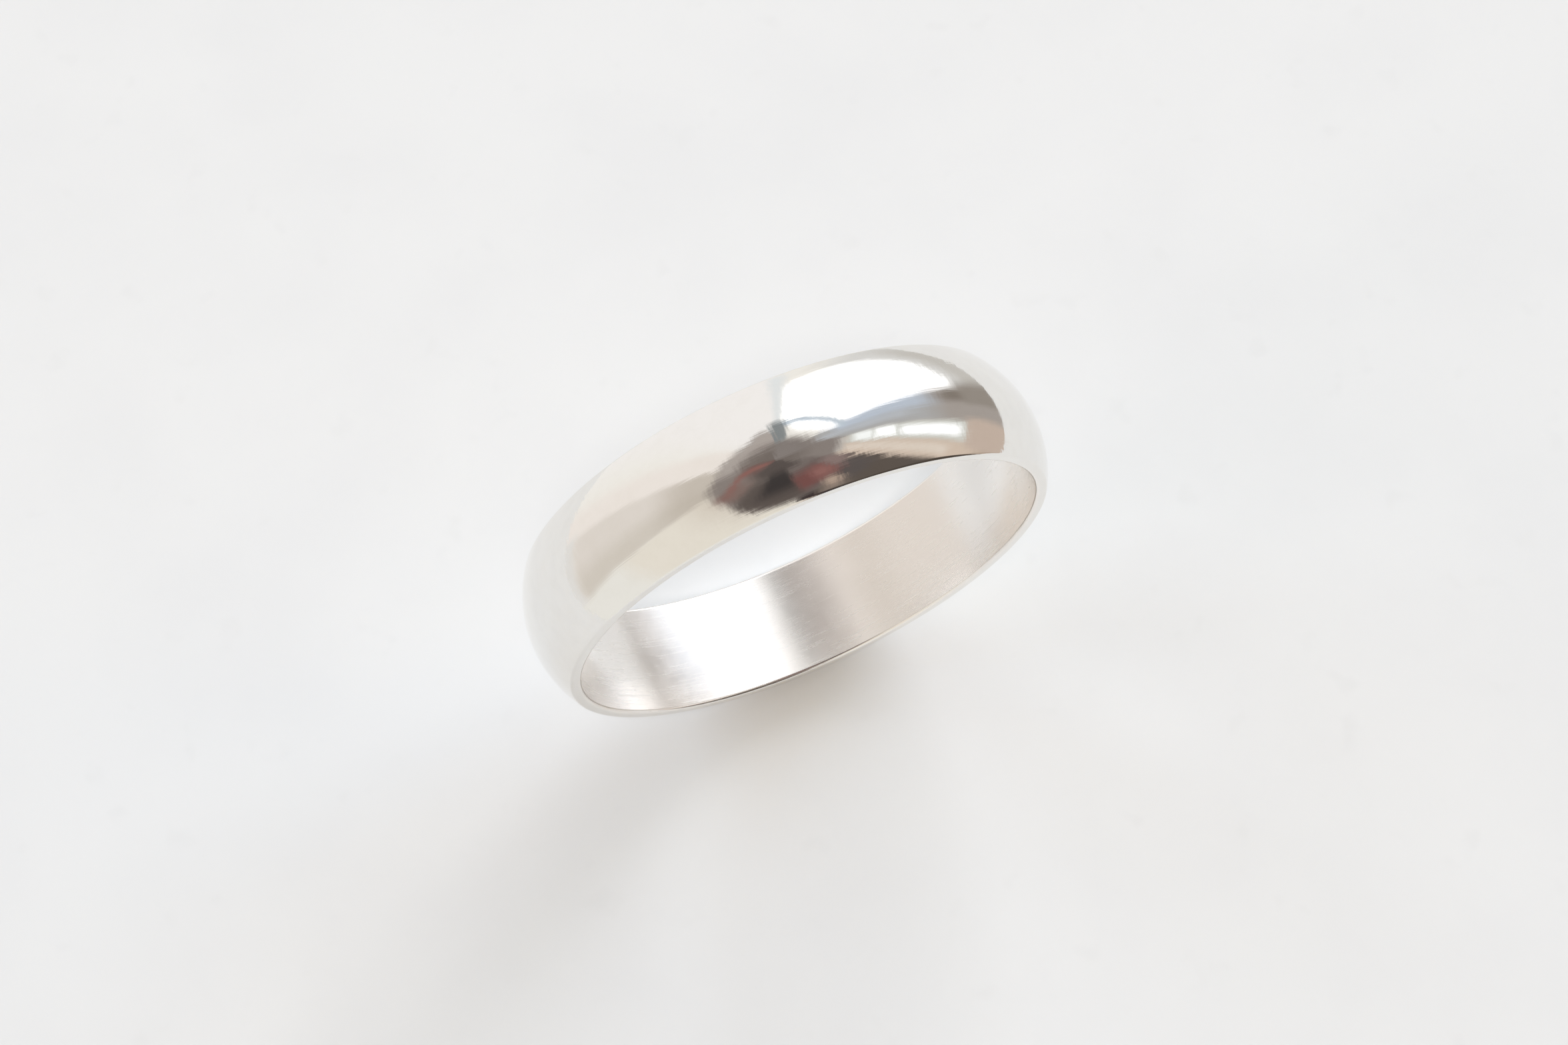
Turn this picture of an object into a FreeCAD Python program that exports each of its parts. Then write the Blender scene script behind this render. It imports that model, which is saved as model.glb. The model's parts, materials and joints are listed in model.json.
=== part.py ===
import FreeCAD, Part
import math
import os
import Sketcher

# A plain half-round wedding band in its own frame, in millimetres.
# The band stands on its rim: the bore runs along Y, +Z is up, and the origin
# is the centre of the bore.
#
# The real band is a length of half-round wire bent into a hoop. Its two cut
# ends meet in a butt joint, and a film of hard solder fills the joint. So
# there are two pieces: the wire hoop, band, and its filling, solder_seam.
# Both are cut from one finished hoop, because a ring is filed, rounded and
# polished after it is soldered, which leaves the seam flush all round.

# Driving dimensions: alias, value, note. Lengths in mm, angles in degrees.
DIMENSIONS = (
    ("inner_diameter", 19.8, "finger bore, US ring size 10"),
    ("band_width", 5.0, "along the bore"),
    ("crown_thickness", 1.2, "wall at the middle of the dome"),
    ("side_height", 0.45, "wall at the two sides, where the dome ends"),
    ("bore_rounding", 0.15, "radius where a side meets the bore"),
    ("dome_rounding", 0.15, "radius where a side meets the dome"),
    ("seam_thickness", 0.06, "solder film in the butt joint"),
    ("seam_angle", 9.0, "seam, round from the lowest point towards -X"),
    ("seam_clearance", 1.0, "how far the joint's slot runs past the wall"),
)


def make_sheet(doc):
    """Spreadsheet that drives every size of the band."""
    sheet = doc.addObject("Spreadsheet::Sheet", "Sizes")
    for row, (alias, value, note) in enumerate(DIMENSIONS, start=1):
        sheet.set(f"A{row}", alias)
        sheet.set(f"B{row}", str(value))
        sheet.set(f"C{row}", note)
        sheet.setAlias(f"B{row}", alias)
    doc.recompute()
    return sheet


def origin_plane(body, role):
    """One of the body's own origin planes, such as XY_Plane."""
    for feature in body.Origin.OriginFeatures:
        if feature.Role == role:
            return feature
    raise ValueError(f"{body.Name} has no origin plane {role}")


def add_sketch(body, role, name):
    sketch = body.newObject("Sketcher::SketchObject", name)
    sketch.AttachmentSupport = [(origin_plane(body, role), "")]
    sketch.MapMode = "FlatFace"
    return sketch


def constrain(sketch, name, expression, *constraint):
    """A named dimension of the sketch, bound to the spreadsheet."""
    index = sketch.addConstraint(Sketcher.Constraint(*constraint))
    sketch.renameConstraint(index, name)
    sketch.setExpression(f"Constraints.{name}", expression)


def draw_section(sketch, sheet):
    """Half-round section: sketch X is the radius, sketch Y runs along the bore.

    A straight bore line, two short straight sides and one arc for the dome,
    with a rounding arc at each of the four corners. It is symmetric about the
    sketch's X axis.
    """
    bore = sheet.inner_diameter / 2
    half = sheet.band_width / 2
    bore_round = sheet.bore_rounding
    dome_round = sheet.dome_rounding
    rise = sheet.crown_thickness - sheet.side_height
    dome = (half ** 2 + rise ** 2) / (2 * rise)
    dome_centre = bore + sheet.crown_thickness - dome

    # The dome's rounding is tangent to the side and, from inside, to the dome.
    reach = math.sqrt((dome - dome_round) ** 2 - (half - dome_round) ** 2)
    dome_round_x = dome_centre + reach
    side_turn = math.atan2(half - dome_round, reach)
    quarter = math.pi / 2

    def rounding(x, y, radius, first, last):
        circle = Part.Circle(FreeCAD.Vector(x, y), FreeCAD.Vector(0, 0, 1), radius)
        return Part.ArcOfCircle(circle, first, last)

    def side(y):
        inner = FreeCAD.Vector(bore + bore_round, y)
        outer = FreeCAD.Vector(dome_round_x, y)
        return inner, outer

    low_inner, low_outer = side(-half)
    high_inner, high_outer = side(half)
    bore_x = bore + bore_round
    bore_y = half - bore_round
    dome_y = half - dome_round
    outline = (
        Part.LineSegment(FreeCAD.Vector(bore, bore_y), FreeCAD.Vector(bore, -bore_y)),
        rounding(bore_x, -bore_y, bore_round, 2 * quarter, 3 * quarter),
        Part.LineSegment(low_inner, low_outer),
        rounding(dome_round_x, -dome_y, dome_round, -quarter, -side_turn),
        rounding(dome_centre, 0, dome, -side_turn, side_turn),
        rounding(dome_round_x, dome_y, dome_round, side_turn, quarter),
        Part.LineSegment(high_outer, high_inner),
        rounding(bore_x, bore_y, bore_round, quarter, 2 * quarter),
    )
    for piece in outline:
        sketch.addGeometry(piece)
    (bore_line, low_bore_arc, low_side, low_dome_arc,
     dome_arc, high_dome_arc, high_side, high_bore_arc) = range(len(outline))

    # Every piece runs the same way round, so each end meets the next start.
    start, end, centre = 1, 2, 3
    x_axis, origin = -1, 1
    for index in range(len(outline)):
        following = (index + 1) % len(outline)
        sketch.addConstraint(Sketcher.Constraint("Tangent", index, end, following, start))
    sketch.addConstraint(Sketcher.Constraint(
        "Symmetric", bore_line, start, bore_line, end, x_axis))
    sketch.addConstraint(Sketcher.Constraint("Horizontal", low_side))
    sketch.addConstraint(Sketcher.Constraint("Horizontal", high_side))
    sketch.addConstraint(Sketcher.Constraint("Equal", low_bore_arc, high_bore_arc))
    sketch.addConstraint(Sketcher.Constraint("Equal", low_dome_arc, high_dome_arc))
    sketch.addConstraint(Sketcher.Constraint("PointOnObject", dome_arc, centre, x_axis))

    # The dome's rise over its half width gives its radius.
    rise_cells = "(Sizes.crown_thickness - Sizes.side_height)"
    dome_cells = f"((Sizes.band_width / 2)^2 + {rise_cells}^2) / (2 * {rise_cells})"
    crown_cells = "Sizes.inner_diameter / 2 + Sizes.crown_thickness"
    constrain(sketch, "bore_radius", "Sizes.inner_diameter / 2",
              "DistanceX", x_axis, origin, bore_line, start, bore)
    constrain(sketch, "width", "Sizes.band_width",
              "DistanceY", low_side, start, high_side, end, 2 * half)
    constrain(sketch, "bore_rounding", "Sizes.bore_rounding", "Radius", low_bore_arc, bore_round)
    constrain(sketch, "dome_rounding", "Sizes.dome_rounding", "Radius", low_dome_arc, dome_round)
    constrain(sketch, "dome_radius", dome_cells, "Radius", dome_arc, dome)
    constrain(sketch, "dome_centre", f"{crown_cells} - {dome_cells}",
              "DistanceX", x_axis, origin, dome_arc, centre, dome_centre)


def make_hoop(doc, sheet):
    """The finished hoop, whole: the section turned round the bore's axis."""
    body = doc.addObject("PartDesign::Body", "FinishedHoop")
    section = add_sketch(body, "XY_Plane", "HalfRoundSection")
    draw_section(section, sheet)

    turn = body.newObject("PartDesign::Revolution", "Hoop")
    turn.Profile = section
    turn.ReferenceAxis = (section, ["V_Axis"])
    turn.Angle = 360.0
    body.Tip = turn
    return body


def make_joint_slot(doc, sheet):
    """Thin slab through the wall at the butt joint, where the solder lies.

    It is drawn straight below the bore, and the body is turned about Y to the
    seam's place.
    """
    body = doc.addObject("PartDesign::Body", "JointSlot")
    sketch = add_sketch(body, "XZ_Plane", "JointGap")

    half_gap = sheet.seam_thickness / 2
    top = sheet.inner_diameter / 2 - sheet.seam_clearance
    bottom = sheet.inner_diameter / 2 + sheet.crown_thickness + sheet.seam_clearance
    corners = (
        FreeCAD.Vector(-half_gap, -top),
        FreeCAD.Vector(-half_gap, -bottom),
        FreeCAD.Vector(half_gap, -bottom),
        FreeCAD.Vector(half_gap, -top),
    )
    count = len(corners)
    for index in range(count):
        sketch.addGeometry(Part.LineSegment(corners[index], corners[(index + 1) % count]))
    start, end = 1, 2
    x_axis, y_axis, origin = -1, -2, 1
    for index in range(count):
        sketch.addConstraint(Sketcher.Constraint(
            "Coincident", index, end, (index + 1) % count, start))
    left_side, low_side, right_side, high_side = range(count)
    for side in (left_side, right_side):
        sketch.addConstraint(Sketcher.Constraint("Vertical", side))
    sketch.addConstraint(Sketcher.Constraint("Horizontal", low_side))
    sketch.addConstraint(Sketcher.Constraint(
        "Symmetric", high_side, start, high_side, end, y_axis))

    wall = "Sizes.inner_diameter / 2 + Sizes.crown_thickness"
    constrain(sketch, "gap", "Sizes.seam_thickness",
              "DistanceX", low_side, start, low_side, end, 2 * half_gap)
    constrain(sketch, "above_wall", "Sizes.inner_diameter / 2 - Sizes.seam_clearance",
              "DistanceY", left_side, start, x_axis, origin, top)
    constrain(sketch, "below_wall", f"{wall} + Sizes.seam_clearance",
              "DistanceY", left_side, end, x_axis, origin, bottom)

    slab = body.newObject("PartDesign::Pad", "JointSlab")
    slab.Profile = sketch
    slab.SideType = "Symmetric"
    slab.setExpression("Length", "Sizes.band_width + 2 * Sizes.seam_clearance")
    body.Tip = slab

    # Turning about +Y carries the lowest point towards -X.
    body.Placement.Rotation = FreeCAD.Rotation(FreeCAD.Vector(0, 1, 0), sheet.seam_angle)
    body.setExpression("Placement.Rotation.Angle", "Sizes.seam_angle")
    return body


def make_piece(doc, label, kind, hoop, slot):
    """One sub-part: the hoop less the joint, or the part inside the joint."""
    piece = doc.addObject(kind, label)
    piece.Base = hoop
    piece.Tool = slot
    piece.Label = label
    piece.Placement = FreeCAD.Placement()
    return piece


def check_document(doc, pieces, hoop, sheet):
    """Stop unless every object is sound and the two pieces make up the hoop."""
    for item in doc.Objects:
        if "Invalid" in item.State or "Error" in item.State:
            raise RuntimeError(f"{item.Label} failed: {item.State}")
        if item.TypeId == "Sketcher::SketchObject" and not item.FullyConstrained:
            raise RuntimeError(f"{item.Label} is not fully constrained")
    for piece in pieces:
        shape = piece.Shape
        if shape.isNull() or not shape.isValid():
            raise RuntimeError(f"{piece.Label} has no valid shape")
        if len(shape.Solids) != 1:
            raise RuntimeError(f"{piece.Label} has {len(shape.Solids)} solids, not 1")
        box = shape.optimalBoundingBox(False, False)
        print(f"{piece.Label}: volume {shape.Volume:.4f} mm3, "
              f"X {box.XMin:.3f} {box.XMax:.3f}, Y {box.YMin:.3f} {box.YMax:.3f}, "
              f"Z {box.ZMin:.3f} {box.ZMax:.3f}")

    slack = 1e-3
    whole = sum(piece.Shape.Volume for piece in pieces)
    if abs(whole - hoop.Shape.Volume) > slack:
        raise RuntimeError("band and solder_seam do not add up to the finished hoop")
    outer_diameter = sheet.inner_diameter + 2 * sheet.crown_thickness
    box = hoop.Shape.optimalBoundingBox(False, False)
    expected = (outer_diameter, sheet.band_width, outer_diameter)
    for found, wanted in zip((box.XLength, box.YLength, box.ZLength), expected):
        if abs(found - wanted) > slack:
            raise RuntimeError(f"the hoop measures {found:.3f} where the sheet gives {wanted:.3f}")

    # The slot cuts the wall once, below the bore and on the -X side.
    seam_centre = pieces[1].Shape.Solids[0].CenterOfMass
    if seam_centre.x >= 0 or seam_centre.z >= 0:
        raise RuntimeError("solder_seam is not at the lower left of the hoop")


def main():
    doc = FreeCAD.newDocument("WeddingBand")
    sheet = make_sheet(doc)
    hoop = make_hoop(doc, sheet)
    slot = make_joint_slot(doc, sheet)
    doc.recompute()
    band = make_piece(doc, "band", "Part::Cut", hoop, slot)
    solder_seam = make_piece(doc, "solder_seam", "Part::Common", hoop, slot)
    doc.recompute()

    pieces = (band, solder_seam)
    check_document(doc, pieces, hoop, sheet)
    os.makedirs("parts", exist_ok=True)
    for piece in pieces:
        piece.Shape.exportStep(f"parts/{piece.Label}.step")


main()
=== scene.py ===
"""Looks of the wedding band: a plain half-round silver ring standing on its rim on a pale table.

Two pieces make the ring, as in the CAD frame: the bent band, and the thin solder joint that closes it.
Everything else is stage: the table, and a light tent of soft panels that the polished metal mirrors.
"""

import json
import math

import bpy
import numpy as np
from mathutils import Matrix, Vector


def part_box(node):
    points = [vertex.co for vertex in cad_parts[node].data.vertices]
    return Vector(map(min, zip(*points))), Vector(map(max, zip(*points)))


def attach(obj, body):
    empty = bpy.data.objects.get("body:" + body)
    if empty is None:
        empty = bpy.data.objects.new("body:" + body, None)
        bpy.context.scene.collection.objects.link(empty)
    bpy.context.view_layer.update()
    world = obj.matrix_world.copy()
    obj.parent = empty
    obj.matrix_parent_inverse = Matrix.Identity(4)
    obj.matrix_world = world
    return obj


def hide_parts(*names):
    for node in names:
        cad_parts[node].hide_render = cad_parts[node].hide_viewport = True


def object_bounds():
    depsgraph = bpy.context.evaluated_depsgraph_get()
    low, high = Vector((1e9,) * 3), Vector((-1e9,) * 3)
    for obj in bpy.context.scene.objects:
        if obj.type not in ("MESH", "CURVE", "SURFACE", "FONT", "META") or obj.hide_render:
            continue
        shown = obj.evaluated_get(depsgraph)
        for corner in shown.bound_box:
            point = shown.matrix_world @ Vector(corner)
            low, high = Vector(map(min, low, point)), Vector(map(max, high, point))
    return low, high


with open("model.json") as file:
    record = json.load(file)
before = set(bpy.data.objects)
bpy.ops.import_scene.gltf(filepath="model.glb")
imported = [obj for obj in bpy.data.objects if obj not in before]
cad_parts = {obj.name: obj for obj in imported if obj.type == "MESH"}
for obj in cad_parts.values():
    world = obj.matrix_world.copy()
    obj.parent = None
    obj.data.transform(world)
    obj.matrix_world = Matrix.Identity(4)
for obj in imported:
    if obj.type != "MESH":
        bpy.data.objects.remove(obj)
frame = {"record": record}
cad_low, cad_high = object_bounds()

# lengths are in metres
MM = 0.001

# ---------------------------------------------------------------- sizes, from the CAD frame
bore_size = next(m["dims"] for m in frame["record"]["mounts"] if m["name"] == "finger_bore")
BORE = bore_size["r_mm"] * MM
STRAIGHT_BORE = bore_size["length_mm"] * MM
WIDTH = cad_high.y - cad_low.y
OUTSIDE = min(cad_high.z, -cad_low.z)
ROUNDING = (WIDTH - STRAIGHT_BORE) / 2
# this and the seam's thickness are the CAD's own sizes, which the frame doesn't state
SIDE_HEIGHT = 0.45 * MM
RISE = OUTSIDE - BORE - SIDE_HEIGHT
DOME = ((WIDTH / 2) ** 2 + RISE**2) / (2 * RISE)
DOME_CENTRE = OUTSIDE - DOME

seam_low, seam_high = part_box("solder_seam")
SEAM_THICKNESS = 0.06 * MM
SEAM_TURN = math.atan2(-(seam_low.x + seam_high.x), -(seam_low.z + seam_high.z))

# how many faces the mesh has along the dome, each rounding and the bore, and round the band and the solder
DOME_STEPS = 56
ROUNDING_STEPS = 8
BORE_STEPS = 20
BAND_STEPS = 540
SOLDER_STEPS = 4


# ---------------------------------------------------------------- the ring's section
def arc(centre, radius, start, end, steps):
    """Points and outward normals of an arc, as (radius from the axis, y).

    Angles run from +y towards outwards.
    """
    made = []
    for i in range(steps + 1):
        turn = start + (end - start) * i / steps
        normal = (math.sin(turn), math.cos(turn))
        made.append(((centre[0] + radius * normal[0], centre[1] + radius * normal[1]), normal))
    return made


def half_round_section():
    """The closed outline of the band: flat bore, rounded edges, low sides and a domed back."""
    reach = STRAIGHT_BORE / 2
    lean = math.asin(reach / (DOME - ROUNDING))
    shoulder = DOME_CENTRE + (DOME - ROUNDING) * math.cos(lean)
    quarter = math.pi / 2
    outline = arc((DOME_CENTRE, 0), DOME, lean + quarter, quarter - lean, DOME_STEPS)
    outline += arc((shoulder, reach), ROUNDING, quarter - lean, 0, ROUNDING_STEPS)[1:]
    outline += arc((BORE + ROUNDING, reach), ROUNDING, 0, -quarter, ROUNDING_STEPS)
    for i in range(1, BORE_STEPS):
        outline.append(((BORE, reach * (1 - 2 * i / BORE_STEPS)), (-1.0, 0.0)))
    outline += arc((BORE + ROUNDING, -reach), ROUNDING, -quarter, -math.pi, ROUNDING_STEPS)
    outline += arc((shoulder, -reach), ROUNDING, math.pi, lean + quarter, ROUNDING_STEPS)[:-1]
    return outline


SECTION = half_round_section()


def swept_piece(name, from_side, to_side, steps):
    """The section swept about the ring's axis, between the two flat faces of the joint.

    from_side and to_side give, for a distance from the axis, the turn at which the sweep starts and ends.
    Turns are measured from the lowest point of the ring towards -X.
    """
    count = len(SECTION)
    points, normals, uvs = [], [], []
    lengths = [0.0]
    for i in range(1, count + 1):
        a, b = SECTION[i - 1][0], SECTION[i % count][0]
        lengths.append(lengths[-1] + math.dist(a, b))
    for step in range(steps + 1):
        share = step / steps
        for (radius, y), (out, across) in SECTION:
            turn = from_side(radius) + (to_side(radius) - from_side(radius)) * share
            away = Vector((-math.sin(turn), 0, -math.cos(turn)))
            points.append(away * radius + Vector((0, y, 0)))
            normals.append(away * out + Vector((0, across, 0)))
    faces, corner_normals = [], []
    for step in range(steps):
        for i in range(count):
            j = (i + 1) % count
            here, there = step * count, (step + 1) * count
            corners = (here + i, there + i, there + j, here + j)
            faces.append(corners)
            corner_normals.extend(normals[c] for c in corners)
            near, far = lengths[i], lengths[i + 1]
            ends = ((step, near), (step + 1, near), (step + 1, far), (step, far))
            uvs.extend((s / steps, along / lengths[-1]) for s, along in ends)
    for start, facing in ((0, 1), (steps * count, -1)):
        loop = [start + i for i in range(count)]
        if facing < 0:
            loop.reverse()
        faces.append(loop)
        turn = from_side(BORE) if start == 0 else to_side(BORE)
        cap = Vector((math.cos(turn), 0, -math.sin(turn))) * facing
        corner_normals.extend(cap for _ in loop)
        uvs.extend((0.5 + points[c].y / WIDTH, 0.5 + points[c].x / WIDTH) for c in loop)
    mesh = bpy.data.meshes.new(name)
    mesh.from_pydata([tuple(p) for p in points], [], faces)
    mesh.polygons.foreach_set("use_smooth", [True] * (len(faces) - 2) + [False] * 2)
    layer = mesh.uv_layers.new(name="UVMap")
    for corner, uv in zip(layer.data, uvs):
        corner.uv = uv
    mesh.update()
    mesh.normals_split_custom_set([tuple(n) for n in corner_normals])
    made = bpy.data.objects.new(name, mesh)
    bpy.context.scene.collection.objects.link(made)
    return made


def joint_face(side):
    """The turn at which one flat face of the joint stands, for each distance from the axis."""
    return lambda radius: SEAM_TURN + side * math.asin(SEAM_THICKNESS / 2 / radius)


def joint_face_after_a_turn(radius):
    """The far face of the joint, reached after a whole turn round the ring."""
    return joint_face(-1)(radius) + 2 * math.pi


band = swept_piece("band_polished", joint_face(1), joint_face_after_a_turn, BAND_STEPS)
seam = swept_piece("solder_seam_fill", joint_face(-1), joint_face(1), SOLDER_STEPS)


# ---------------------------------------------------------------- node helpers
def new_material(name):
    made = bpy.data.materials.new(name)
    made.use_nodes = True
    made.node_tree.nodes.clear()
    return made


class Nodes:
    """Short ways to add and join nodes in one tree."""

    def __init__(self, tree):
        self.tree = tree

    def add(self, kind, **settings):
        node = self.tree.nodes.new(kind)
        for key, value in settings.items():
            setattr(node, key, value)
        return node

    def feed(self, socket, value):
        if isinstance(value, bpy.types.NodeSocket):
            self.tree.links.new(value, socket)
        else:
            socket.default_value = value

    def math(self, operation, a, b=0.0):
        node = self.add("ShaderNodeMath", operation=operation)
        self.feed(node.inputs[0], a)
        self.feed(node.inputs[1], b)
        return node.outputs[0]

    def vector(self, operation, a, b=(0.0, 0.0, 0.0)):
        node = self.add("ShaderNodeVectorMath", operation=operation)
        self.feed(node.inputs[0], a)
        self.feed(node.inputs[1], b)
        return node.outputs[0]

    def span(self, value, low, high, to_low, to_high):
        """The value eased from the range low to high onto the range to_low to to_high."""
        node = self.add("ShaderNodeMapRange", interpolation_type="SMOOTHSTEP")
        for socket, item in zip(node.inputs, (value, low, high, to_low, to_high)):
            self.feed(socket, item)
        return node.outputs[0]

    def noise(self, x, y, z, w, detail=2.0, roughness=0.5):
        """Four-dimensional noise, which averages one half."""
        point = self.add("ShaderNodeCombineXYZ")
        for socket, item in zip(point.inputs, (x, y, z)):
            self.feed(socket, item)
        node = self.add("ShaderNodeTexNoise", noise_dimensions="4D")
        self.feed(node.inputs["Vector"], point.outputs[0])
        self.feed(node.inputs["W"], w)
        node.inputs["Scale"].default_value = 1.0
        node.inputs["Detail"].default_value = detail
        node.inputs["Roughness"].default_value = roughness
        return node.outputs[0]

    def blend(self, factor, a, b):
        node = self.add("ShaderNodeMix", data_type="RGBA")
        self.feed(node.inputs[0], factor)
        self.feed(node.inputs[6], a)
        self.feed(node.inputs[7], b)
        return node.outputs[2]


def linear(colour):
    """An sRGB colour of 0 to 255 as linear light."""
    made = []
    for value in colour:
        v = value / 255
        made.append(v / 12.92 if v <= 0.04045 else ((v + 0.055) / 1.055) ** 2.4)
    return made


# ---------------------------------------------------------------- metal
SILVER = (0.89, 0.875, 0.845)
DULL_SILVER = (0.872, 0.855, 0.82)
SOLDER = (0.85, 0.835, 0.80)
DULL_SOLDER = (0.82, 0.80, 0.76)

# the marks: how far each kind leans the surface over the whole range of its noise, how much rougher the
# hairlines make it, and how high the broad waves are
HAIRLINE_LEAN = 0.045
FINE_LINE_LEAN = 0.10
CROSS_MARK_LEAN = 0.07
HAIRLINE_ROUGHNESS = 0.09
WAVE_HEIGHT = 0.02 * MM

# the bore: its colour, a silver painted lighter than the band's as painted light for the window light that
# its rougher wall scatters, how much rougher it is, how much of the marks it loses, and how far outwards
# from its wall this fades, in mm
BORE_SILVER_PAINTED_LIGHTER = (0.945, 0.915, 0.88)
BORE_SOFTER = 0.19
BORE_LOSES = 0.88
BORE_FADE = (0.02, 0.2)


def ring_metal(name, colour, dull, gloss_from, gloss_to):
    """Hand-polished metal: hairlines round the ring, short marks across it, and a softer bore.

    Cloudy patches vary the colour from colour to dull and the roughness from gloss_from to gloss_to.
    """
    made = new_material(name)
    n = Nodes(made.node_tree)
    place = n.add("ShaderNodeTexCoord")
    split = n.add("ShaderNodeSeparateXYZ")
    n.feed(split.inputs[0], place.outputs["Object"])
    x, y, z = (n.math("MULTIPLY", split.outputs[i], 1 / MM) for i in range(3))
    radius = n.math("SQRT", n.math("ADD", n.math("MULTIPLY", x, x), n.math("MULTIPLY", z, z)))

    def drawn(around, across, **more):
        """Noise with so many cycles per mm round the ring, and so many across its width."""
        return n.noise(
            n.math("MULTIPLY", x, around),
            n.math("MULTIPLY", y, across),
            n.math("MULTIPLY", z, around),
            n.math("MULTIPLY", radius, across),
            **more,
        )

    hairlines = drawn(0.6, 14.0, detail=2.0, roughness=0.6)
    fine_lines = drawn(0.9, 45.0, detail=1.0)
    cross_marks = drawn(9.0, 1.1, detail=2.0)
    patches = drawn(0.35, 0.55, detail=2.0)
    cloud = drawn(1.6, 1.6, detail=4.0, roughness=0.6)
    swell = drawn(0.28, 0.45, detail=1.0)

    # the marks are fullest on worn patches, and faint in the bore
    bore = n.span(radius, BORE / MM + BORE_FADE[0], BORE / MM + BORE_FADE[1], 1.0, 0.0)
    worn = n.span(patches, 0.42, 0.62, 0.35, 1.0)
    kept = n.math("MULTIPLY", worn, n.math("SUBTRACT", 1.0, n.math("MULTIPLY", bore, BORE_LOSES)))

    gloss = n.span(cloud, 0.3, 0.7, gloss_from, gloss_to)
    scored = n.span(hairlines, 0.5, 0.75, 0.0, HAIRLINE_ROUGHNESS)
    gloss = n.math("ADD", gloss, n.math("MULTIPLY", scored, worn))
    gloss = n.math("ADD", gloss, n.math("MULTIPLY", bore, BORE_SOFTER))

    shade = n.blend(n.span(cloud, 0.35, 0.75, 0.0, 1.0), (*colour, 1), (*dull, 1))
    # painted light: the bore is blended to a lighter silver, a painted brightening for the light its rough
    # wall scatters
    shade = n.blend(bore, shade, (*BORE_SILVER_PAINTED_LIGHTER, 1))

    def lean(noise, most):
        """How far a mark leans the surface, from noise about one half."""
        return n.math("MULTIPLY", n.math("SUBTRACT", noise, 0.5), most)

    lines = n.math("ADD", lean(hairlines, HAIRLINE_LEAN), lean(fine_lines, FINE_LINE_LEAN))
    across = n.math("MULTIPLY", lines, kept)
    around = n.math("DIVIDE", n.math("MULTIPLY", lean(cross_marks, CROSS_MARK_LEAN), kept), radius)
    tilt = n.add("ShaderNodeCombineXYZ")
    n.feed(tilt.inputs[0], n.math("MULTIPLY", z, around))
    n.feed(tilt.inputs[1], across)
    n.feed(tilt.inputs[2], n.math("MULTIPLY", x, n.math("MULTIPLY", around, -1.0)))
    turned = n.add(
        "ShaderNodeVectorTransform", vector_type="VECTOR", convert_from="OBJECT", convert_to="WORLD"
    )
    n.feed(turned.inputs[0], tilt.outputs[0])
    surface = n.add("ShaderNodeNewGeometry")
    marked = n.vector("NORMALIZE", n.vector("ADD", surface.outputs["Normal"], turned.outputs[0]))
    waves = n.add("ShaderNodeBump")
    waves.inputs["Strength"].default_value = 1.0
    waves.inputs["Distance"].default_value = WAVE_HEIGHT
    n.feed(waves.inputs["Height"], swell)
    n.feed(waves.inputs["Normal"], marked)

    shader = n.add("ShaderNodeBsdfPrincipled")
    shader.inputs["Metallic"].default_value = 1.0
    n.feed(shader.inputs["Base Color"], shade)
    n.feed(shader.inputs["Roughness"], gloss)
    n.feed(shader.inputs["Normal"], waves.outputs[0])
    out = n.add("ShaderNodeOutputMaterial")
    n.feed(out.inputs["Surface"], shader.outputs[0])
    return made


silver = ring_metal("polished_silver", SILVER, DULL_SILVER, 0.045, 0.075)
solder = ring_metal("silver_solder", SOLDER, DULL_SOLDER, 0.07, 0.11)

for piece, node, metal, slot in (
    (band, "band", silver, "polished_silver"),
    (seam, "solder_seam", solder, "silver_solder"),
):
    piece.data.materials.append(metal)
    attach(piece, "root")
    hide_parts(node)


# ---------------------------------------------------------------- table
# the open table's brightness in the picture, the share of light that it throws back, and its place and size
PALE = linear((239, 239, 239))[0]
TABLE_ALBEDO = 0.82
TABLE_HEIGHT = cad_low.z
TABLE_REACH = 1.3
RINGS, SPOKES = 6, 120


def disc(name, inner, outer):
    """Part of the table: a flat ring of faces round the origin.

    inner and outer give the reach of its two edges for an azimuth in degrees.
    """
    points, faces = [], []
    for i in range(RINGS + 1):
        for j in range(SPOKES):
            azimuth = 360 * j / SPOKES - 180
            reach = inner(azimuth) + (outer(azimuth) - inner(azimuth)) * (i / RINGS) ** 2
            turn = math.radians(azimuth - 90)
            points.append((reach * math.cos(turn), reach * math.sin(turn), TABLE_HEIGHT))
    for i in range(RINGS):
        here, there = i * SPOKES, (i + 1) * SPOKES
        for j in range(SPOKES):
            k = (j + 1) % SPOKES
            faces.append((here + j, there + j, there + k, here + k))
    mesh = bpy.data.meshes.new(name)
    mesh.from_pydata(points, [], faces)
    mesh.update()
    made = bpy.data.objects.new(name, mesh)
    bpy.context.scene.collection.objects.link(made)
    return made


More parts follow.
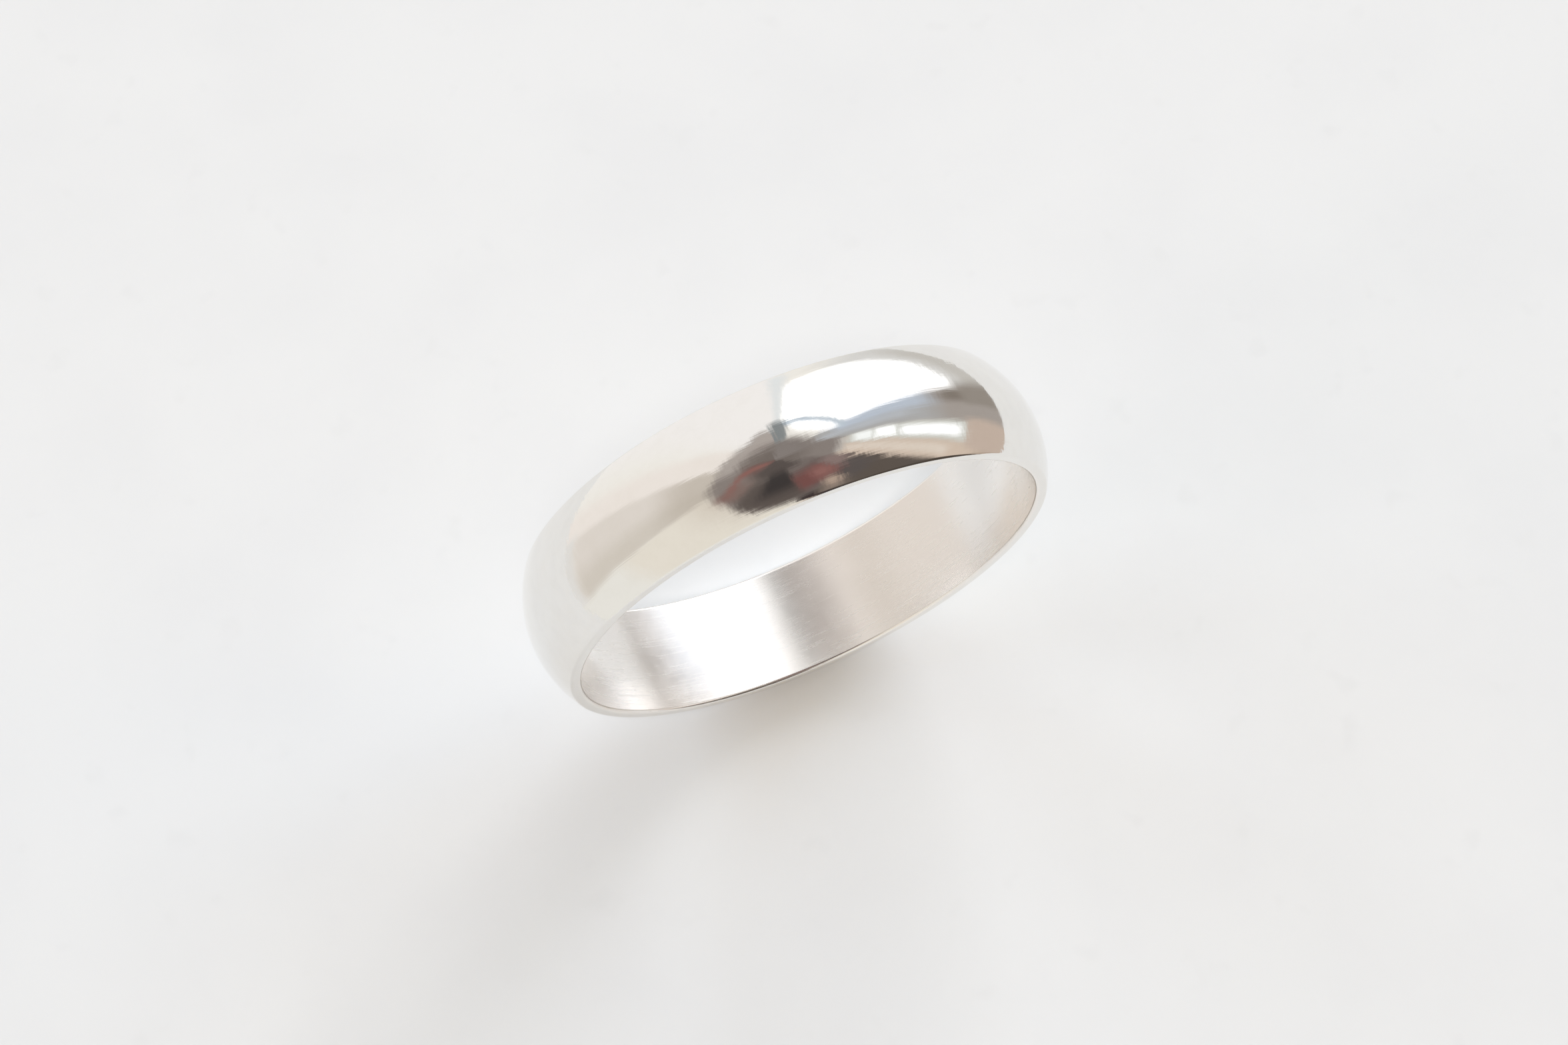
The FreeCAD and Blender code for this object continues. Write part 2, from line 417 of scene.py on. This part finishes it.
def table_material():
    """Matt pale stone with faint grey clouds and a few soft spots."""
    made = new_material("pale_table")
    n = Nodes(made.node_tree)
    place = n.add("ShaderNodeTexCoord")
    split = n.add("ShaderNodeSeparateXYZ")
    n.feed(split.inputs[0], place.outputs["Object"])
    x, y = (n.math("MULTIPLY", split.outputs[i], 1 / MM) for i in range(2))

    def grain(scale, shift, **more):
        """Noise with so many cycles per mm. Another shift gives another pattern."""
        return n.noise(n.math("MULTIPLY", x, scale), n.math("MULTIPLY", y, scale), shift, 0.0, **more)

    spots = n.span(grain(0.45, 3.0, detail=2.0), 0.60, 0.74, 0.0, 1.0)
    clouds = n.span(grain(0.11, 7.0, detail=4.0), 0.35, 0.75, 0.0, 1.0)
    light = (TABLE_ALBEDO, TABLE_ALBEDO, TABLE_ALBEDO, 1)
    grey = tuple(TABLE_ALBEDO * share for share in (0.972, 0.972, 0.976)) + (1,)
    spot = tuple(TABLE_ALBEDO * share for share in (0.955, 0.955, 0.955)) + (1,)
    shade = n.blend(n.math("MULTIPLY", spots, 0.6), n.blend(clouds, light, grey), spot)
    shader = n.add("ShaderNodeBsdfPrincipled")
    shader.inputs["Roughness"].default_value = 0.9
    shader.inputs["Specular IOR Level"].default_value = 0.0
    n.feed(shader.inputs["Base Color"], shade)
    out = n.add("ShaderNodeOutputMaterial")
    n.feed(out.inputs["Surface"], shader.outputs[0])
    return made


# how many degrees below the level the metal sees the end of the table, as (azimuth, degrees)
MIRRORED_HORIZON = (
    (-180, 15), (0, 15), (14, 24), (24, 36), (38, 32), (58, 18), (130, 17), (155, 15), (180, 15),
)
MIRROR_HEIGHT = 20 * MM


def board_edge(azimuth):
    """How far the mirrored table reaches, as seen from MIRROR_HEIGHT above it."""
    drop = np.interp(azimuth, *zip(*MIRRORED_HORIZON))
    return MIRROR_HEIGHT / math.tan(math.radians(drop))


pale_table = table_material()
board = disc("table_near", lambda azimuth: 0.0, board_edge)
beyond = disc("table_far", board_edge, lambda azimuth: TABLE_REACH)
for part in (board, beyond):
    part.data.materials.append(pale_table)
beyond.visible_glossy = False


# ---------------------------------------------------------------- light tent mirrored by the metal
def smooth(low, high, value):
    """Eases from 0 at low to 1 at high."""
    t = np.clip((value - low) / (high - low), 0, 1)
    return t * t * (3 - 2 * t)


TENT_RADIUS = 2.0
LOWEST, HIGHEST = -60, 90

# one point of the tent for each degree, and the light that the metal mirrors from it
azimuths, elevations = np.meshgrid(np.arange(-180, 181.0), np.arange(LOWEST, HIGHEST + 1.0))
glow = np.zeros(azimuths.shape + (3,))


def mirrored(colour, boost=1.0):
    """The light a panel gives so that the metal shows this sRGB colour."""
    return np.array(linear(colour)) / np.array(SILVER) * boost


def paint(weight, colour, boost=1.0):
    """Lays a colour over the tent, as thick as weight says at each point."""
    glow[:] = glow + weight[..., None] * (mirrored(colour, boost) - glow)


def edge(place, along):
    """An edge: one angle, or (angle along, angle) corners of a line."""
    if isinstance(place, (int, float)):
        return place
    return np.interp(along, *zip(*place))


def panel(left, right, low, high, colour, soft=3.0, boost=1.0, strength=1.0):
    """A soft-edged panel of the tent, in degrees. Azimuth 0 is the front, 90 the right and 180 behind.

    left and right may be lines of (elevation, azimuth), low and high lines of (azimuth, elevation).
    soft is half the width of the blur of all four edges, or of the left, right, low and high ones.
    boost makes the panel brighter than its colour, and a strength below 1 leaves it see-through.
    """
    blur = (soft,) * 4 if isinstance(soft, (int, float)) else soft
    left, right = edge(left, elevations), edge(right, elevations)
    low, high = edge(low, azimuths), edge(high, azimuths)
    middle = (np.mean(left) + np.mean(right)) / 2
    round_it = (azimuths - middle + 180) % 360 - 180 + middle
    weight = smooth(left - blur[0], left + blur[0], round_it)
    weight = weight * (1 - smooth(right - blur[1], right + blur[1], round_it))
    weight = weight * smooth(low - blur[2], low + blur[2], elevations)
    weight = weight * (1 - smooth(high - blur[3], high + blur[3], elevations))
    paint(weight * strength, colour, boost)


# heights past both ends of the tent, for panels with no edge there
FLOOR, TOP = -100, 200

# walls and curtains behind and to the left
paint(np.ones(azimuths.shape), (237, 233, 225))
panel(167, 208, FLOOR, TOP, (240, 236, 232), soft=(3, 14, 1, 1))
panel(((0, -137), (40, -142), (60, -152)), -118, FLOOR, TOP, (234, 226, 218), soft=(6, 4, 1, 1))
panel(-124, -82, FLOOR, -8, (222, 219, 214), soft=(3, 2, 1, 3))
panel(-122, -82, -9, TOP, (219, 211, 202), soft=(3, 3, 4, 1))
panel(-100, -81.5, -9, TOP, (203, 195, 183), soft=(10, 2, 4, 1), strength=0.8)
panel(-81.5, 6, FLOOR, TOP, (226, 219, 206), soft=(2, 3, 1, 1))
panel(-83, 6, FLOOR, 14, (229, 226, 218), soft=(4, 3, 1, 7))
panel(-122, -80, 42, TOP, (187, 177, 164), soft=(4, 3, 12, 1), strength=0.75)
panel(-81.5, -20, 48, TOP, (208, 198, 184), soft=(3, 6, 10, 1), strength=0.7)
# dark furniture in front and to the right of it
DARK_LEFT = ((0, 9.5), (30, 7), (50, 2))
DARK_RIGHT = ((-30, 44), (-15, 50), (0, 56), (8, 58), (16, 59), (25, 58), (45, 57), (60, 54))
panel(6, 60, FLOOR, TOP, (210, 192, 176), soft=(4, 3, 1, 1))
panel(57, 75, FLOOR, 61.5, (205, 187, 170), soft=3)
panel(62, 69, 12, 61, (217, 204, 190), soft=3)
panel(50, 80, FLOOR, -4, (174, 156, 140), soft=(8, 4, 1, 7))
panel(DARK_LEFT, DARK_RIGHT, FLOOR, TOP, (92, 83, 76), soft=(3, 2.5, 1, 1))
panel(12, DARK_RIGHT, FLOOR, 8, (74, 66, 59), soft=(3, 4, 1, 9))
panel(DARK_LEFT, 15, FLOOR, 56, (60, 51, 50), soft=(3, 3, 1, 2))
panel(32, 54, 42, 62, (90, 83, 80), soft=4)
panel(16, 29, 33, 47, (132, 118, 108), soft=5)
# the wall between the windows, and the narrow window with its three panes
panel(72, 92, FLOOR, 61, (200, 187, 174), soft=3)
panel(86, 114, FLOOR, 78, (162, 154, 147), soft=(3, 2, 1, 3))
panel(88, 114, 18, 72, (170, 169, 168), soft=(3, 2, 9, 4))
panel(94, 100, 30, 72, (181, 184, 188), soft=(3, 3, 8, 4))
panel(101, 113, 18, 63, (184, 192, 203), soft=(4, 2, 9, 3))
panel(102, 110, -20, 12, (128, 119, 110), soft=(3, 3, 2, 7))
panel(73, 88, 4, 60, (204, 204, 196), soft=2)
panel(70, 90, FLOOR, 4, (192, 174, 160), soft=(3, 3, 1, 3))
panel(76.5, 84.5, 8, 36.5, (252, 252, 252), soft=(3, 3, 3.5, 2.4), boost=1.25)
panel(75, 87, 39, 48, (252, 253, 251), soft=(2.5, 2.5, 1.5, 1.2), boost=1.1)
panel(75, 87, 49.5, 57.5, (249, 251, 248), soft=(2.5, 2.5, 1.2, 2.5))
# the dim ceiling above a skyline
SKYLINE = (
    (-180, 61), (-165, 65.5), (-145, 66), (-110, 66), (-90, 61), (-60, 60), (-45, 57.5), (-30, 53),
    (-18, 50), (0, 48.5), (18, 50), (52, 60), (60, 62), (88, 62), (96, 73), (160, 74), (168, 66), (180, 61),
)
panel(-400, 400, SKYLINE, TOP, (134, 125, 119), soft=(1, 1, 4, 1))
panel(-200, -104, SKYLINE, 74, (171, 162, 155), soft=(12, 12, 4, 5))
panel(-400, 400, 78, TOP, (114, 105, 99), soft=(1, 1, 7, 1))
panel(88, 168, 76, TOP, (131, 123, 118), soft=(12, 12, 5, 1))
panel(-112, -52, 77, TOP, (109, 89, 84), soft=(14, 12, 4, 1))
panel(-58, 42, 75, TOP, (88, 80, 76), soft=(14, 14, 4, 1))
panel(-72, -40, 60, 74, (126, 107, 100), soft=(9, 7, 3, 6))
STREAK_LEFT = ((64, -66), (70, -77), (74, -90), (80, -102), (84, -103), (88, -96))
STREAK_RIGHT = ((64, -58), (70, -66), (74, -77), (80, -80), (84, -69), (88, -40))
panel(STREAK_LEFT, STREAK_RIGHT, 62, 87, (138, 98, 91), soft=(9, 9, 9, 3))
panel(-44, 14, SKYLINE, 76, (92, 83, 78), soft=(10, 5, 3, 7))
panel(-24, 10, 59, 78, (56, 52, 51), soft=(9, 6, 7, 5), strength=0.9)
panel(12, 54, SKYLINE, 74, (104, 93, 89), soft=(6, 5, 2, 7))
panel(9, 41, 53, 68, (116, 78, 74), soft=(4, 6, 5, 5))
panel(24, 40, 55, 65, (142, 101, 95), soft=6)
panel(42, 55, 55, 67, (134, 116, 111), soft=4)
panel(23, 32, 45, 52, (176, 155, 139), soft=3.5)
# the big window, with its upper pane, bar, post and frame
WINDOW_LOW = ((110, 2), (135, 1), (146, 4), (158, 13), (168, 22))
PANE_TOP = ((105, 64), (118, 66.5), (135, 67.5), (150, 66), (158, 63))
panel(111, 156, -22, 8, (213, 211, 207), soft=(3, 8, 1, 6))
panel(111, 146, -22, -8, (194, 190, 183), soft=(3, 8, 1, 5))
panel(100, 114, -22, 1, (146, 138, 129), soft=(3, 5, 1, 4))
panel(106, 168, 56.5, 62, (186, 196, 205), soft=(3, 2, 1, 1))
panel(113.5, 164, WINDOW_LOW, 55.5, (255, 255, 255), soft=(5, 3.5, 7, 2.4), boost=2.2)
panel(110.5, 157, 60.3, PANE_TOP, (252, 252, 252), soft=(5, 4.5, 1.8, 4), boost=1.5)
panel(165.5, 169.5, 2, 58, (224, 226, 225), soft=(1.5, 1.5, 4, 3))
panel(((54, 166), (73, 156)), ((54, 174), (73, 170)), 56, 75, (130, 134, 134), soft=(2, 3, 3, 3))


# tints of the light, as red, green and blue around a green of 1
DAYLIGHT = np.array((0.95, 1.0, 1.08))
SKY = np.array((0.84, 1.0, 1.2))
CREAM = np.array((1.02, 1.0, 0.98))
WARM_WALL = np.array((1.22, 1.0, 0.92))
LAMP = np.array((1.6, 1.0, 0.25))

# what the tent gives the table: fill goes straight to it, from a dim room, and light goes by way of the
# metal, with windows far brighter than white. The suns below stand for the windows' straight light.
FILL_SHARE = np.array((0.33, 0.31, 0.25))
fill = glow * FILL_SHARE
light = fill.copy()


def brighten(left, right, low, high, more, tint, soft=3.0):
    """Adds light to a soft-edged part of the tent, in degrees, for what the metal throws on the table."""
    middle, half = (left + right) / 2, (right - left) / 2
    away = np.abs((azimuths - middle + 180) % 360 - 180)
    weight = 1 - smooth(half - soft, half + soft, away)
    weight = weight * smooth(low - soft, low + soft, elevations)
    weight = weight * (1 - smooth(high - soft, high + soft, elevations))
    light[:] = light + weight[..., None] * more * tint


brighten(112, 165, -4, 30, 6.0, DAYLIGHT)
brighten(166, 215, -2, 24, 4.0, CREAM)
brighten(-150, -120, 5, 50, 1.7, SKY)
brighten(95, 112, 5, 60, 2.2, SKY)
brighten(60, 100, 0, 40, 0.45, LAMP)
brighten(-110, -70, 0, 40, 1.0, WARM_WALL)


def tent_material():
    """Glows with the tent's three sets of values: one seen and mirrored, and two for the table."""
    made = new_material("tent_glow")
    n = Nodes(made.node_tree)

    def painted(name):
        return n.add("ShaderNodeAttribute", attribute_name=name).outputs["Color"]

    path = n.add("ShaderNodeLightPath")
    from_table = n.math("GREATER_THAN", path.outputs["Diffuse Depth"], 0.5)
    given = n.blend(path.outputs["Is Glossy Ray"], painted("fill"), painted("light"))
    lamp = n.add("ShaderNodeEmission")
    n.feed(lamp.inputs["Color"], n.blend(from_table, painted("glow"), given))
    out = n.add("ShaderNodeOutputMaterial")
    n.feed(out.inputs["Surface"], lamp.outputs[0])
    made.cycles.emission_sampling = "NONE"
    return made


def tent():
    """The dome that holds the panels. Only the metal and the table see it."""
    rows, columns = azimuths.shape
    a, e = np.radians(azimuths), np.radians(elevations)
    away = np.stack([np.sin(a) * np.cos(e), -np.cos(a) * np.cos(e), np.sin(e)], axis=-1)
    points = (away * TENT_RADIUS).reshape(-1, 3)
    faces = []
    for i in range(rows - 1):
        for j in range(columns - 1):
            here = i * columns + j
            faces.append((here, here + 1, here + columns + 1, here + columns))
    mesh = bpy.data.meshes.new("light_tent")
    mesh.from_pydata(points.tolist(), [], faces)
    for name, colours in (("glow", glow), ("fill", fill), ("light", light)):
        layer = mesh.color_attributes.new(name=name, type="FLOAT_COLOR", domain="POINT")
        opaque = np.concatenate([colours.reshape(-1, 3), np.ones((rows * columns, 1))], axis=1)
        layer.data.foreach_set("color", opaque.astype(np.float32).ravel())
    mesh.update()
    made = bpy.data.objects.new("light_tent", mesh)
    bpy.context.scene.collection.objects.link(made)
    mesh.materials.append(tent_material())
    made.visible_camera = False
    made.visible_shadow = False
    made.visible_transmission = False


tent()


# ---------------------------------------------------------------- light on the table
def sun(name, azimuth, elevation, spread, share, tint):
    """A large soft light. share is how much of the open table's brightness it gives."""
    a, e = math.radians(azimuth), math.radians(elevation)
    towards = Vector((math.sin(a) * math.cos(e), -math.cos(a) * math.cos(e), math.sin(e)))
    lamp = bpy.data.lights.new(name, "SUN")
    lamp.angle = math.radians(spread)
    strongest = max(tint)
    lamp.color = [part / strongest for part in tint]
    lamp.energy = PALE * share * strongest * math.pi / (TABLE_ALBEDO * math.sin(e))
    # the tent would block a light that is found by chance, so this one is only ever aimed at
    lamp.cycles.use_multiple_importance_sampling = False
    made = bpy.data.objects.new(name, lamp)
    made.rotation_mode = "QUATERNION"
    made.rotation_quaternion = towards.to_track_quat("Z", "Y")
    made.visible_glossy = False
    bpy.context.scene.collection.objects.link(made)


sun("window_light", 138, 14, 40, 0.21, DAYLIGHT)
sun("back_light", -170, 12, 36, 0.09, SKY)
sun("wall_light", -135, 28, 36, 0.08, SKY)
sun("side_light", 104, 32, 30, 0.075, SKY)
sun("right_light", 80, 20, 40, 0.023, LAMP)
sun("left_light", -90, 20, 40, 0.05, WARM_WALL)
sun("front_light", -23, 69, 16, 0.25, CREAM)

# the world gives no light: it is only the pale background that the camera sees past the table
world = bpy.data.worlds.new("soft_room")
bpy.context.scene.world = world
world.use_nodes = True
world.node_tree.nodes.clear()
room = Nodes(world.node_tree)
path = room.add("ShaderNodeLightPath")
back = room.add("ShaderNodeBackground")
backdrop = room.blend(path.outputs["Is Camera Ray"], (0, 0, 0, 1), (PALE, PALE, PALE, 1))
room.feed(back.inputs["Color"], backdrop)
room.feed(room.add("ShaderNodeOutputWorld").inputs["Surface"], back.outputs[0])

# ---------------------------------------------------------------- camera
CAMERA_AZIMUTH = -23.57
CAMERA_ELEVATION = 68.56
CAMERA_DISTANCE = 97.36 * MM
AIM = Vector((0.17, 0.76, 0)) * MM
# Blender takes these two in millimetres
SENSOR_WIDTH = 36
FOCAL_LENGTH = 55.2
NEAREST_SEEN = 5 * MM
FARTHEST_SEEN = 10

turn, rise = math.radians(CAMERA_AZIMUTH), math.radians(CAMERA_ELEVATION)
behind = Vector((math.sin(turn) * math.cos(rise), -math.cos(turn) * math.cos(rise), math.sin(rise)))
lens = bpy.data.cameras.new("camera")
lens.sensor_width = SENSOR_WIDTH
lens.lens = FOCAL_LENGTH
lens.clip_start = NEAREST_SEEN
lens.clip_end = FARTHEST_SEEN
camera = bpy.data.objects.new("camera", lens)
camera.location = AIM + behind * CAMERA_DISTANCE
camera.rotation_mode = "QUATERNION"
camera.rotation_quaternion = (-behind).to_track_quat("-Z", "Y")
bpy.context.scene.collection.objects.link(camera)
bpy.context.scene.camera = camera

bpy.context.scene.view_settings.view_transform = "Standard"
